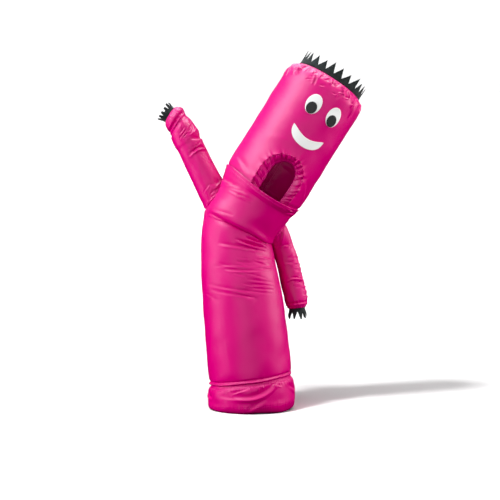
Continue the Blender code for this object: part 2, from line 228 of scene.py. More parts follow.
def follow(rings, pitch=0.002):
    """The rings of a tube on smooth curves, a pitch apart: their distances and their columns."""
    marks = np.array([list(ring) for ring in rings])
    steps = np.diff(marks, axis=0)
    spans = np.sqrt((steps[:, :3] ** 2).sum(axis=1) + steps[:, 4] ** 2)
    way = np.concatenate([[0.0], np.cumsum(spans)])
    rise = steps / spans[:, None]
    same_way = rise[:-1] * rise[1:] > 0
    inner = np.where(same_way, 2 * rise[:-1] * rise[1:] / np.where(same_way, rise[:-1] + rise[1:], 1), 0)
    slopes = np.vstack([rise[:1], inner, rise[-1:]])
    places = np.linspace(0, way[-1], int(way[-1] / pitch) + 2)
    row = np.clip(np.searchsorted(way, places, "right") - 1, 0, len(spans) - 1)
    t = ((places - way[row]) / spans[row])[:, None]
    span = spans[row][:, None]
    columns = ((2 * t ** 3 - 3 * t ** 2 + 1) * marks[row] + (3 * t ** 2 - 2 * t ** 3) * marks[row + 1]
               + span * (t ** 3 - 2 * t ** 2 + t) * slopes[row]
               + span * (t ** 3 - t ** 2) * slopes[row + 1])
    return places, columns


def on_tube(tube, turn, up, out=0.0, lift=0.0):
    """Points of a tube's wall: turn in degrees from the front, up, out and lift in metres."""
    places, columns = tube
    x, y, z, lean, radius, dip = (np.interp(up, places, column) for column in columns.T)
    angle = np.radians(turn - 90)
    lean = np.radians(lean)
    reach = (radius + out) * np.cos(angle)
    lift = lift - dip * np.maximum(0, np.cos(np.radians(turn - FACE_TURN))) ** 2
    return np.stack([x - MIDDLE_X + np.cos(lean) * reach + np.sin(lean) * lift,
                     y + (radius + out) * np.sin(angle),
                     z - np.sin(lean) * reach + np.cos(lean) * lift], axis=1)


def arc(turn, radius):
    """The length round a tube that a turn in degrees takes up."""
    return np.radians(turn) * radius


def eased(way, reach):
    """0 at an edge, rising smoothly to 1 where way is the reach."""
    t = np.clip(way / reach, 0, 1)
    return t * t * (3 - 2 * t)


def groove(way, width):
    """1 along a line and falling to 0 away from it."""
    return np.exp(-(way / width) ** 2)


def swell(share, power):
    """0 at both ends of a way and 1 halfway along it."""
    return np.clip(np.sin(np.pi * np.clip(share, 0, 1)), 0, 1) ** power


def welts(way, rows):
    """How far some welts push the cloth out, at places so far from their seam."""
    return sum(row.height * groove(way - row.way, row.width) for row in rows)


def crumpled(turn, up, radius, creases):
    """How far creases push a tube's cloth out: each slopes gently into it from above, steeply from
    below, and has a thin ridge under that."""
    out = np.zeros_like(turn)
    for crease in creases:
        step = Vector((math.radians(crease.turn_end - crease.turn) * radius, crease.up_end - crease.up))
        length = step.length
        across = arc((turn - crease.turn + 180) % 360 - 180, radius)
        along = (across * step.x + (up - crease.up) * step.y) / length ** 2
        off = ((up - crease.up) * step.x - across * step.y) / length
        off = off - crease.bow * 4 * along * (1 - along)
        fade = swell(along, 0.7)
        trough = groove(off, np.where(off > 0, 1.4, 0.65) * crease.width)
        ridge = crease.lip * groove(off + 1.25 * crease.width, 0.75 * crease.width)
        out -= crease.depth * fade * (trough - ridge)
    return out


def strew(areas, radius):
    """The small creases of some parts of a tube's cloth, each a little different."""
    creases = []
    for area in areas:
        chance = np.random.RandomState(area.seed)
        for _ in range(area.count):
            turn = area.turn + area.turn_reach * chance.uniform(-1, 1)
            up = area.up + area.up_reach * chance.uniform(-1, 1)
            length = area.length * chance.uniform(0.5, 1.0)
            rise = length * (area.tilt + chance.uniform(-0.15, 0.15)) / 2
            half = math.degrees(length / 2 / radius)
            bow, width = chance.uniform(-0.004, 0.004), area.width * chance.uniform(0.6, 1.0)
            creases.append(Crease(turn - half, up - rise, turn + half, up + rise, bow, width,
                                  area.depth * chance.uniform(0.4, 1.0), chance.uniform(0.3, 0.9)))
    return creases


def gathers(turn, way, pleats):
    """How far pleats push a cloth out, at places so far from its sewn edge."""
    chance = np.random.RandomState(pleats.seed)
    out = np.zeros_like(turn)
    pitch = 360 / pleats.count
    for pleat in range(pleats.count):
        place = pitch * (pleat + chance.uniform(0.1, 0.9)) - 180
        tall = pleats.height * chance.uniform(0.3, 1.0)
        run = pleats.length * chance.uniform(0.35, 1.0)
        start = run * chance.uniform(-0.45, 0.25)
        width = arc(pitch, pleats.radius) * chance.uniform(0.15, 0.28)
        slant = pleats.slant + chance.uniform(-0.35, 0.35)
        off = arc((turn - place + 180) % 360 - 180, pleats.radius) - slant * way
        fade = swell((way - start) / run, 0.6)
        out += tall * fade * (np.exp(-np.abs(off / width) ** 1.5) - 0.4 * groove(off - 1.9 * width, width))
    return out


def slack(turn, up, seed, depth, waves=14):
    """Broad shallow unevenness of cloth that the air doesn't quite pull tight, in metres."""
    chance = np.random.RandomState(seed)
    out = np.zeros_like(turn)
    for _ in range(waves):
        out += np.sin(np.radians(turn) * chance.randint(1, 9) + up * chance.uniform(-80, 80)
                      + chance.uniform(0, 2 * math.pi))
    return out * depth / math.sqrt(waves / 2)


def round_armhole(points, armhole):
    """How far points lie from an armhole's seam, outside it, and their degrees round it."""
    lean = math.radians(armhole.lean)
    axis = np.array([math.sin(lean), 0, math.cos(lean)])
    side = np.array([math.cos(lean), 0, -math.sin(lean)])
    away = points - np.array([armhole.x - MIDDLE_X, armhole.y, armhole.z])
    across, deep = away @ side, away[:, 1]
    way = np.hypot(across, deep) - armhole.radius
    return np.where(away @ axis < -0.12, 1.0, way), np.degrees(np.arctan2(across, -deep))


def fine_front(share):
    """Shares of the way round a tube, closer together at its front, where most creases are."""
    return share - 0.35 * np.sin(2 * math.pi * (share - 0.5)) / (2 * math.pi)


def cut_cloth(name, width, length, columns, rows, row_stops=None, column_share=None):
    """A flat rectangle of cloth, with its UV map in metres too. Returns it with how far round (0 to 1)
    and how far up (in metres) each of its points is."""
    bpy.ops.object.select_all(action="DESELECT")
    bpy.ops.mesh.primitive_grid_add(x_subdivisions=columns, y_subdivisions=rows, size=1)
    cloth = bpy.context.object
    cloth.name = cloth.data.name = name
    flat = np.empty(len(cloth.data.vertices) * 3)
    cloth.data.vertices.foreach_get("co", flat)
    flat = flat.reshape(-1, 3) + 0.5
    share = column_share(flat[:, 0]) if column_share else flat[:, 0]
    up = flat[:, 1] * length
    if row_stops:
        up = np.interp(flat[:, 1] * rows, *zip(*row_stops))
    corner = np.empty(len(cloth.data.loops), dtype=int)
    cloth.data.loops.foreach_get("vertex_index", corner)
    weave = np.stack([share * width, up], axis=1)[corner]
    cloth.data.uv_layers[0].data.foreach_set("uv", weave.ravel())
    return cloth, share, up


def mark_seams(cloth, seams):
    """Store how far each point is from its nearest seam, how far along it, and how strongly the seam
    puckers it, which falls to 0 at PUCKER_REACH and where two seams are equally near."""
    ways = np.stack([way for way, along in seams])
    alongs = np.stack([along for way, along in seams])
    nearest = ways.argmin(axis=0)[None]
    way = np.take_along_axis(ways, nearest, 0)[0]
    along = np.take_along_axis(alongs, nearest, 0)[0]
    second = np.sort(ways, axis=0)[1] if len(seams) > 1 else way + 1
    pull = (1 - eased(way, PUCKER_REACH)) * eased(second - way - 0.004, 0.010)
    for name, values in (("seam_way", way), ("seam_along", along), ("seam_pull", pull)):
        layer = cloth.data.attributes.new(name, "FLOAT", "POINT")
        layer.data.foreach_set("value", values)


def shape_cloth(cloth, points, material, thickness=CLOTH, gone=None):
    """Move a flat cloth's points to their places, cut out those that are gone, sew up its side seam
    and give it its thickness."""
    cloth.data.vertices.foreach_set("co", points.ravel())
    cloth.data.update()
    bpy.ops.object.mode_set(mode="EDIT")
    if gone is not None:
        bpy.ops.mesh.select_all(action="DESELECT")
        bpy.ops.object.mode_set(mode="OBJECT")
        cloth.data.vertices.foreach_set("select", gone)
        bpy.ops.object.mode_set(mode="EDIT")
        bpy.ops.mesh.delete(type="VERT")
    bpy.ops.mesh.select_all(action="SELECT")
    bpy.ops.mesh.remove_doubles(threshold=0.00002)
    bpy.ops.mesh.select_all(action="DESELECT")
    bpy.ops.object.mode_set(mode="OBJECT")
    bpy.ops.object.shade_smooth()
    wall = cloth.modifiers.new("cloth", "SOLIDIFY")
    wall.thickness = thickness
    wall.offset = -1
    bpy.ops.object.modifier_apply(modifier=wall.name)
    cloth.data.materials.append(material)


# Coated polyester taffeta: closely woven filament yarn, which gives broad pale highlights, a fine
# grain, faint crumples where it was folded, and small puckers beside its rows of stitches. Its
# threads lie 0.1 mm apart, far too fine to show, so the grain is drawn 2.2 mm wide. The stitches are
# 3.3 mm long, one every 5 mm, and really 0.4 mm wide, but are drawn 1.4 mm wide.
def add_node(tree, kind, settings):
    """The outputs of a new node. Each of its settings is a value, or another node's output to link."""
    node = tree.nodes.new("ShaderNode" + kind)
    for key, value in settings.items():
        if isinstance(value, bpy.types.NodeSocket):
            tree.links.new(value, node.inputs[key])
        elif isinstance(key, int) or key in node.inputs:
            node.inputs[key].default_value = value
        else:
            setattr(node, key, value)
    return node.outputs


def maths(tree, operation, *values):
    """The result of a calculation with numbers or other nodes' outputs."""
    return add_node(tree, "Math", {"operation": operation, **dict(enumerate(values))})[0]


def noise(tree, place, scale, detail, roughness=0.5):
    """A cloudy pattern."""
    return add_node(tree, "TexNoise", {"Scale": scale, "Detail": detail, "Roughness": roughness,
                                       "Vector": place})["Fac"]


def mix(tree, share, first, second):
    """A share of the way from one colour to another."""
    return add_node(tree, "Mix", {"data_type": "RGBA", 0: share, 6: first, 7: second})[2]


def bump(tree, strength, distance, height, under=None):
    """A bump of a pattern, on top of another bump if there is one."""
    settings = {"Strength": strength, "Distance": distance, "Height": height}
    if under is not None:
        settings["Normal"] = under
    return add_node(tree, "Bump", settings)[0]


GRAIN = 0.0022
WAVE_LENGTH = 0.314        # of the wave pattern's stripes, at a scale of 1
STITCH_LINE = 0.006        # from a seam to the row of stitches beside it
STITCH_HALF = 0.0007       # half of a stitch's width
STITCH_PITCH = 0.005
STITCH_SHARE = 0.66        # of the pitch, that shows as thread
pink_taffeta, tree, shader = new_material("pink polyester taffeta", 0.37, 0.58)
place = add_node(tree, "TexCoord", {})
seam_way, seam_along, seam_pull = (add_node(tree, "Attribute", {"attribute_name": name})["Fac"]
                                   for name in ("seam_way", "seam_along", "seam_pull"))
dyed = mix(tree, noise(tree, place["Object"], 7.0, 2.0), linear(PINK), linear(DEEP_PINK))
beside = maths(tree, "COMPARE", seam_way, STITCH_LINE, STITCH_HALF)
fraction = maths(tree, "FRACT", maths(tree, "MULTIPLY", seam_along, 1 / STITCH_PITCH))
stitch = maths(tree, "MULTIPLY", beside, maths(tree, "LESS_THAN", fraction, STITCH_SHARE))
tree.links.new(mix(tree, stitch, dyed, linear(THREAD)), shader["Base Color"])
yarns = [add_node(tree, "TexWave", {"bands_direction": way, "Scale": WAVE_LENGTH / GRAIN, "Distortion": 1.5,
                                    "Detail Scale": 30.0, "Vector": place["UV"]})["Fac"] for way in "XY"]
grain = bump(tree, 0.5, 0.00012, maths(tree, "ADD", *yarns))
crumpling = bump(tree, 0.45, 0.0012, noise(tree, place["Object"], 26.0, 4.0, 0.55), grain)
# The puckers are about 7 mm across. They fade away from the seam, as seam_pull does.
seam_place = add_node(tree, "CombineXYZ", {0: seam_along, 1: seam_way})[0]
stretched = add_node(tree, "Mapping", {"Scale": (150.0, 16.0, 1.0), "Vector": seam_place})[0]
drawn_in = maths(tree, "MULTIPLY", noise(tree, stretched, 1.0, 1.0), seam_pull)
puckering = bump(tree, 0.8, 0.0035, drawn_in, crumpling)
tree.links.new(bump(tree, 0.8, 0.0007, stitch, puckering), shader["Normal"])

BODY_RINGS = table(
    Ring,
    # x, y, z, lean, radius, dip
    (.0022, 0, .117, -7.5, .1625),
    (.0018, 0, .129, -7.5, .163),
    (.001, 0, .139, -7.5, .1655),
    (-.002, 0, .165, -7, .1668),
    (-.0128, 0, .276, -5, .165),
    (-.0252, 0, .4, -3, .161),
    (-.0396, 0, .52, 0, .156),
    (-.048, 0, .6, 3, .1475),
    (-.053, 0, .665, 8, .143),
    (-.049, 0, .712, 21, .1455),
    (-.042, 0, .737, 27.5, .15),
    (-.012, 0, .7816, 31, .152),
    (.02, 0, .8324, 32.2, .1565),
    head_ring(-.03, .1635, NECK_DIP * 0.7),
    head_ring(-.014, .168, NECK_DIP),
    head_ring(0, .1695, NECK_DIP),
)
body_tube = follow(BODY_RINGS)
body_length = body_tube[0][-1]
fold_up = float(np.interp(WAIST_CREASE, body_tube[1][:, 2], body_tube[0]))
BODY_ROWS = table(RowStop, (0, 0), (12, .024), (43, .330), (109, .560), (141, .640), (176, .776),
                  (190, body_length))
BODY_CREASES = table(
    Crease,
    # below the fold at the waist, from top to bottom
    # turn, up, turn_end, up_end, bow, width, depth, lip
    (14, .575, 62, .56, -.003, .0052, .0084, .8),
    (-2, .562, 56, .537, -.005, .0056, .0086, .8),
    (-32, .537, 50, .521, .002, .0055, .004, .5),
    (30, .505, 84, .493, -.002, .006, .0024),
    # across the trunk
    (24, .471, 66, .456, 0, .005, .0024, .7),
    (-42, .451, 42, .461, .003, .005, .0014, .3),
    (-22, .445, 36, .442, -.005, .0042, .0028, .6),
    (8, .405, 60, .384, 0, .0045, .002),
    (12, .386, 56, .372, 0, .004, .002),
    (10, .37, 54, .356, 0, .004, .0018),
    (-58, .387, 48, .342, 0, .0046, .002, .4),
    (-48, .363, 12, .335, 0, .005, .0016, .3),
    # the thin left end of the waist fold, and the fan above it
    (-64, .613, 10, .61, 0, .0045, .0062, .9),
    (-56, .624, -12, .638, 0, .0045, .0034, .8),
    # from the raised armhole across the chest, and under the neck edge
    (-88, .739, -18, .739, .003, .008, .0048, .5),
    (-44, .723, -12, .736, 0, .005, .0034, .8),
    (-44, .715, 0, .725, -.002, .005, .004, .8),
    (56, .776, 92, .782, 0, .005, .0034, .7),
    (44, .792, 66, .784, 0, .0035, -.0034, 0),
    # round the back, where the bend pulls it tight
    (118, .56, 176, .59, .004, .008, .0036),
    (-178, .6, -120, .572, .004, .008, .0036),
    (140, .42, 200, .432, .004, .009, .0028),
)
BODY_STREWN = table(
    Strewn,
    # turn, up, turn_reach, up_reach, tilt, length, width, depth, count, seed
    (30, .545, 24, .026, -.24, .07, .0042, .0036, 5, 26),
    (18, .44, 46, .05, -.16, .09, .0042, .0022, 17, 27),
    (-20, .35, 46, .03, -.22, .08, .0042, .0016, 9, 28),
    (-40, .725, 26, .02, .16, .06, .0042, .0026, 8, 29),
    (70, .76, 18, .03, .3, .045, .004, .0026, 6, 30),
)

# The fold at the waist is deepest at FOLD_TURN and fades out towards the other side. It sags most at
# SAG_TURN, and the cloth above it stands out in a lip and droops over it.
FOLD_TURN, FOLD_WIDTH, FOLD_DEPTH, FOLD_LIP, FOLD_DROOP = 70, .0095, .0185, .0060, .0135
SAG_TURN, SAG_REACH, SAG_DEPTH = 57, 25, .020
TRUNK_RADIUS, FOOT_RADIUS, NECK_RADIUS = .155, .163, .168
FOOT_PLEATS = Pleats(.165, 52, 21, .0016, .030, .3)
NECK_PLEATS = Pleats(NECK_RADIUS, 40, 22, .0008, .024)
# A narrow roll stands along the foot seam, fullest at ROLL_TURN, and the cloth is drawn in beside it.
ROLL, ROLL_TURN, ROLL_UNEVEN = Welt(.0055, .0034, .0024), -48, .0014
FOOT_WELTS = table(Welt, (.0145, .0040, -.0024), (0, .0016, -.0010))
NECK_WELTS = table(Welt, (NECK_HEM, .0016, -.0006), (.003, .0035, .0016))
BACK_WELTS = table(Welt, (0, .0035, -.0014))
ARMHOLE_WELTS = table(Welt, (0, .0040, -.0016))

body_cloth, share, up = cut_cloth("body_cloth", 1.0, body_length, 260, 190, BODY_ROWS, fine_front)
turn = share * 360 - 180
foot_way, neck_way = up, body_length - up
back_way = arc(180 - np.abs(turn), TRUNK_RADIUS)
fold = fold_up - 0.004 - SAG_DEPTH * groove(turn - SAG_TURN, SAG_REACH)
t = (up - fold) / FOLD_WIDTH
reach = eased(1.35 * (1 + np.cos(np.radians(turn - FOLD_TURN))) / 2, 1)
out = reach * (FOLD_LIP * np.tanh(t) * groove(t, 3) - FOLD_DEPTH * groove(t, 1))
out += crumpled(turn, up, TRUNK_RADIUS, BODY_CREASES + strew(BODY_STREWN, TRUNK_RADIUS))
out += slack(turn, up, 11, 0.0006) * eased(foot_way, 0.03) * eased(neck_way, 0.04)
out += gathers(turn, foot_way, FOOT_PLEATS)
out += gathers(turn, neck_way, NECK_PLEATS)
roll = ROLL.height + ROLL_UNEVEN * np.cos(np.radians(turn - ROLL_TURN)) + slack(turn, up * 0, 23, 0.0008)
out += roll * groove(up - ROLL.way, ROLL.width) + welts(foot_way, FOOT_WELTS)
# The neck edge is turned in double and stitched down.
out += 0.0008 * (1 - eased(neck_way, NECK_HEM * 1.1)) + welts(neck_way, NECK_WELTS)
out += welts(back_way, BACK_WELTS) * eased(neck_way, 0.02) * eased(foot_way, 0.02)
lift = reach * (-FOLD_DROOP * t * np.exp(-t * t / 2))
lift += slack(turn, up * 0, 24, 0.0010) * (1 - eased(foot_way, 0.02))
points = on_tube(body_tube, turn, up, out, lift)
seams = [(foot_way, arc(turn, FOOT_RADIUS)),
         (np.abs(neck_way - NECK_HEM) + STITCH_LINE, arc(turn, NECK_RADIUS)), (back_way, up)]
for armhole in ARMHOLES:
    way, around = round_armhole(points, armhole)
    pleats = gathers(around, np.maximum(way, 0), Pleats(armhole.radius, 20, 25, .0018, .030))
    out += np.where(way > -0.004, pleats, 0) + welts(way, ARMHOLE_WELTS)
    seams.append((np.abs(way), arc(around, armhole.radius)))
mark_seams(body_cloth, seams)
shape_cloth(body_cloth, on_tube(body_tube, turn, up, out, lift), pink_taffeta)
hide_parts("body")
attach(body_cloth, "root")


# Hem band: a fuller ring of the same taffeta gathered into the seam at the trunk's foot, turned in
# at its lower edge, on which the costume stands. Its slack hangs in shallow swags.
HEM_RINGS = table(
    Ring,
    (.0068, 0, .001, 0, .144),
    (.0068, 0, .0006, 0, .16),
    (.0068, 0, .004, -0.5, .166),
    (.0068, 0, .013, -2.4, .1712),
    (.0066, 0, .031, -4, .1742),
    (.0054, 0, .056, -5.5, .1742),
    (.004, 0, .084, -6.5, .1718),
    (.0032, 0, .101, -7, .1672),
    (.0026, 0, .109, -7.5, .161),
    (.0024, 0, .116, -7.5, .1596),
    (.0016, 0, .131, -7.5, .1596),
)
HEM_STITCHES = 0.046       # how far up the cloth its turned-in edge is stitched down
HEM_SEAM = 0.131           # how far up the cloth the trunk's edge lies
hem_tube = follow(HEM_RINGS)
hem_length = hem_tube[0][-1]
HEM_ROWS = table(RowStop, (0, 0), (4, .016), (38, .110), (54, .142), (56, hem_length))
HEM_CREASES = table(
    Crease,
    # the big swag, hung from the seam on the right, and its shade below
    (-24, .098, 42, .15, -.03, .01, .007, .7),
    (-6, .034, 18, .078, 0, .01, .003, .4),
    # small slanting creases under the seam
    (-34, .12, -6, .136, 0, .0035, .002, .8),
    (-26, .107, -4, .122, 0, .004, .0022, .8),
    (-44, .098, -12, .086, 0, .007, .0014, .5),
    (30, .126, 46, .112, 0, .004, .0026, .8),
    (60, .108, 84, .08, 0, .008, .004, .6),
    # round the back
    (110, .118, 168, .084, -.01, .01, .0056, .7),
    (-172, .116, -112, .092, -.012, .01, .0056, .7),
    (-96, .112, -62, .088, -.004, .008, .004, .7),
)
HEM_RADIUS = .172
HEM_PLEATS = Pleats(.168, 58, 32, .0026, .034, .25)
EDGE_PLEATS = Pleats(HEM_RADIUS, 46, 33, .0005, .022)
EDGE_WELTS = table(Welt, (HEM_STITCHES, .0022, -.0007))
HEM_BACK_WELTS = table(Welt, (0, .0035, -.0012))
HEM_SWAGS = table(Welt, (14, 24, .0055), (84, 30, .0075), (-130, 30, .0040))     # by degrees from the front

hem_cloth, share, up = cut_cloth("hem_cloth", 1.08, hem_length, 300, 56, HEM_ROWS, fine_front)
turn = share * 360 - 180
seam_way = np.maximum(HEM_SEAM - up, 0)
back_way = arc(180 - np.abs(turn), HEM_RADIUS)
free = eased(up, 0.030) * eased(seam_way, 0.020)
out = crumpled(turn, up, HEM_RADIUS, HEM_CREASES) * eased(up, 0.03) * eased(seam_way, 0.008)
out += slack(turn, up, 31, 0.0008) * free
out += gathers(turn, seam_way, HEM_PLEATS) * eased(seam_way, 0.006)
out += gathers(turn, np.abs(up - HEM_STITCHES), EDGE_PLEATS) * eased(up, 0.03)
out += welts(up, EDGE_WELTS) + welts(back_way, HEM_BACK_WELTS) * free
lift = welts(turn, HEM_SWAGS) * (1 - eased(up, 0.07))
mark_seams(hem_cloth, [(seam_way, arc(turn, .165)), (back_way, up),
                       (np.abs(up - HEM_STITCHES) + STITCH_LINE, arc(turn, HEM_RADIUS))])
shape_cloth(hem_cloth, on_tube(hem_tube, turn, up, out, lift), pink_taffeta)
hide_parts("hem_band")
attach(hem_cloth, "root")


# Head tube: a tube of the taffeta that tucks inside the neck edge and is gathered into the seam of
# the crown, with the face opening cut in its front. Elastic draws the opening's edge into scallops.
HEAD_RADIUS = 0.1705
HEAD_START = -0.012        # the head cloth's lower edge, up the head's middle line
OPENING_TURN = 15.0        # degrees from the front to the opening's middle
OPENING_HALF = 0.0920      # half of its width
OPENING_TOP = 0.150        # up the head's middle line
SCALLOP_PITCH = 0.0260     # between the gathers round the opening
SCALLOP_DEPTH = 0.0042     # how far the edge recedes at a gather
RIM_SEAM = 0.014           # how far from the cloth's upper edge its pleats start
RIM_LINE = 0.013           # how far from that edge the crown is sewn on
GATHERED_RADIUS = 0.168    # of the head near its rim, where most of its creases lie
LONG_PLEATS = Pleats(.160, 52, 43, .0080, .085, .15)
SHORT_PLEATS = Pleats(.160, 41, 46, .0056, .056, -.20)
TUCK_WELTS = table(Welt, (.004, .0060, -.0024))
head_tube = follow([
    head_ring(-.012, .1656, NECK_DIP),
    head_ring(0, .1668, NECK_DIP),
    head_ring(.012, .1693, NECK_DIP * 0.9),
    head_ring(.05, .1705, NECK_DIP * 0.4),
    head_ring(.1, .1705),
    head_ring(.38, .1705),
    head_ring(.435, .17),
    head_ring(.458, .166),
    head_ring(.474, .157),
    head_ring(.486, .147),
    head_ring(.492, .14),
    head_ring(.4925, .128),
])
head_length = head_tube[0][-1]
HEAD_COLUMNS, HEAD_ROWS = 280, 164
HEAD_STOPS = table(RowStop, (0, 0), (56, .180), (100, head_length - .130), (HEAD_ROWS, head_length))
HEAD_CREASES = table(
    Crease,
    # two deep pleats under the rim, and soft folds beside and above the opening
    (-17, .47, -15, .436, 0, .004, .003, .9),
    (23, .474, 20, .44, 0, .004, .003, .9),
    (-34, .196, 2, .214, .004, .012, .0012, .4),
    (52, .12, 84, .04, 0, .01, .003, .5),
    (-62, .06, -24, .034, 0, .009, .0026, .5),
    (120, .12, 190, .15, .01, .012, .003, .5),
    (-150, .3, -96, .33, .006, .012, .0022, .4),
)
HEAD_STREWN = table(
    Strewn,
    # under the rim, where the full cloth is drawn into the crown's seam
    (-10, .462, 60, .016, .5, .036, .004, .003, 12, 47),
)


def opening_edge(turn, up):
    """How far a place on the head lies outside the face opening's edge, and how far along the edge
    from the top of the opening, in metres."""
    across = arc(turn - OPENING_TURN, HEAD_RADIUS)
    rise = up + HEAD_START - (OPENING_TOP - OPENING_HALF)
    over = np.maximum(rise, 0)
    along = OPENING_HALF * np.arctan2(np.abs(across), over) + np.maximum(-rise, 0)
    return np.hypot(across, over) - OPENING_HALF, np.where(across < 0, -along, along)


def scallops(along):
    """How much the elastic draws the edging in at places along it: 1 at a gather and 0 between two."""
    chance = np.random.RandomState(41)
    drawn = np.zeros_like(along)
    for gather in range(-11, 12):
        off = along - SCALLOP_PITCH * (gather + chance.uniform(-0.38, 0.38))
        off /= chance.uniform(0.0040, 0.0085)
        drawn = np.maximum(drawn, chance.uniform(0.35, 1.0) * np.exp(-np.abs(off) ** 1.4))
    return drawn


def head_out(turn, up):
    """How far the head's cloth stands out of its smooth tube."""
    rim_way, neck_way = head_length - RIM_SEAM - up, np.maximum(up + HEAD_START, 0)
    edge, along = opening_edge(turn, up)
    out = crumpled(turn, up, GATHERED_RADIUS, HEAD_CREASES + strew(HEAD_STREWN, GATHERED_RADIUS))
    out += slack(turn, up, 42, 0.0006) * eased(neck_way, 0.03) * eased(rim_way, 0.07)
    out += gathers(turn, np.maximum(rim_way, 0), LONG_PLEATS) * eased(rim_way, 0.014)
    out += gathers(turn, np.maximum(rim_way, 0), SHORT_PLEATS) * eased(rim_way, 0.012)
    out += welts(neck_way, TUCK_WELTS)
    out += welts(arc(180 - np.abs(turn), HEAD_RADIUS), BACK_WELTS) * eased(rim_way, 0.02)
    # Beside the opening the cloth puffs out, and is drawn in at each gather.
    drawn = scallops(along)
    beside = np.exp(-np.maximum(edge, 0) / 0.013)
    return out + beside * (0.0030 * (1 - drawn) - 0.0028 * drawn) * eased(up, 0.010)


head_cloth, share, up = cut_cloth("head_cloth", 1.07, head_length, HEAD_COLUMNS, HEAD_ROWS, HEAD_STOPS,
                                  fine_front)
turn = share * 360 - 180
# The edge of the opening recedes at each gather. The points just inside it are moved onto it, and
# the cloth beyond them is cut out.
edge, along = opening_edge(turn, up)
edge = edge - SCALLOP_DEPTH * (scallops(along) - 0.35)
inside = (edge < -0.0014).reshape(HEAD_ROWS + 1, HEAD_COLUMNS + 1)
padded = np.pad(inside, 1)
beside_hole = np.zeros_like(inside)
for row in range(3):
    for column in range(3):
        beside_hole |= padded[row:row + HEAD_ROWS + 1, column:column + HEAD_COLUMNS + 1]
on_edge = (beside_hole & ~inside).ravel()
across = arc(turn - OPENING_TURN, HEAD_RADIUS)
rise = np.maximum(0, up + HEAD_START - (OPENING_TOP - OPENING_HALF))
away = np.maximum(np.hypot(across, rise), 1e-9)
turn = np.where(on_edge, turn - np.degrees(edge * across / away / HEAD_RADIUS), turn)
up = np.where(on_edge, up - edge * rise / away, up)
edge, along = opening_edge(turn, up)
# The opening's own edge is kept past the row of stitches, so that only its puckers show.
mark_seams(head_cloth, [(np.maximum(edge, 0) + 0.008, along),
                        (np.abs(head_length - RIM_LINE - up), arc(turn, .15)),
                        (arc(180 - np.abs(turn), HEAD_RADIUS), up)])
shape_cloth(head_cloth, on_tube(head_tube, turn, up, head_out(turn, up)), pink_taffeta, gone=inside.ravel())
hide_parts("head_tube")
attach(head_cloth, "root")


# Crown: a round of the taffeta sewn into the gathered end of the head tube, a little domed.
crown_tube = follow([
    head_ring(.4945, .1365),
    head_ring(.495, .13),
    head_ring(.5025, .11),
    head_ring(.5105, .06),
    head_ring(.511, .0001),
])
crown_length = crown_tube[0][-1]
CROWN_PLEATS = Pleats(.130, 38, 51, .0016, .050)
crown_cloth, share, up = cut_cloth("crown_cloth", 0.86, crown_length, 180, 40)
turn = share * 360 - 180
inner = np.clip((crown_length - up) / 0.06, 0, 1)
out = gathers(turn, up, CROWN_PLEATS) * eased(up, 0.008) * inner
lift = slack(turn, up * 0.4, 52, 0.0012) * eased(up, 0.030) * inner
mark_seams(crown_cloth, [(up, arc(turn, .133))])
shape_cloth(crown_cloth, on_tube(crown_tube, turn, up, 0, lift + out), pink_taffeta)
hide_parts("crown")
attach(crown_cloth, "root")


# Sleeves: two small tubes of the taffeta, each sewn round an armhole in the chest. The raised one
# folds over on its upper side and bunches into a collar at the wrist; the lowered one hangs beside
# the trunk, with small ripples down its outer side. Each ends in a seam drawn in to the wrist.
RAISED_RINGS = table(
    Ring,
    (-.104, 0, .776, -26, .0585),
    (-.1412, 0, .8508, -26, .0585),
    (-.18, 0, .928, -26.5, .0555),
    (-.216, 0, 1, -27, .054),
    (-.242, 0, 1.054, -27.5, .0545),
    (-.2475, 0, 1.064, -29, .056),
    (-.274, 0, 1.114, -42, .0545),
    (-.285, 0, 1.132, -56, .05),
    (-.296, 0, 1.151, -58, .054),
    (-.311, 0, 1.1655, -57.5, .046),
    (-.32, 0, 1.1712, -57.5, .035),
)
LOWERED_RINGS = table(
    Ring,
    (.08, .012, .744, 152, .0465),
    (.108, .022, .7, 155, .0465),
    (.136, .048, .632, 162, .045),
    (.158, .054, .56, 166, .046),
    (.166, .055, .524, 167, .0465),
    (.174, .055, .492, 167, .0478),
    (.185, .053, .444, 168, .0465),
    (.1885, .052, .415, 173, .043),
    (.1895, .052, .398, 175, .035),
)
RAISED_CREASES = table(
    Crease,
    # small folds at the armhole, and the soft shade above them
    (-32, .071, 46, .096, 0, .0045, .005, .8),
    (-10, .089, 42, .101, 0, .004, .0036, .8),
    (-12, .126, 88, .117, 0, .011, .0034, .3),
    # the hooked fold halfway, and the overlap on the upper side
    (-22, .265, 84, .259, .014, .006, .0074, .8),
    (14, .321, 110, .315, -.004, .0065, .009, .2),
    (16, .34, 112, .337, 0, .01, -.003, 0),
    # slanting ridges between the overlap and the collar
    (-10, .322, 50, .34, 0, .0035, -.001, 0),
    (-6, .349, 46, .347, 0, .0035, -.0011, 0),
    (-14, .377, 40, .386, .004, .004, -.0011, 0),
    (-46, .404, 72, .401, .004, .0045, -.0018, 0),
    # the collar's crease
    (-120, .416, 130, .411, 0, .006, .008, .3),
    # the under side
    (-150, .23, -100, .246, 0, .007, .002, .5),
    (150, .2, 210, .216, 0, .008, .0036, .5),
)
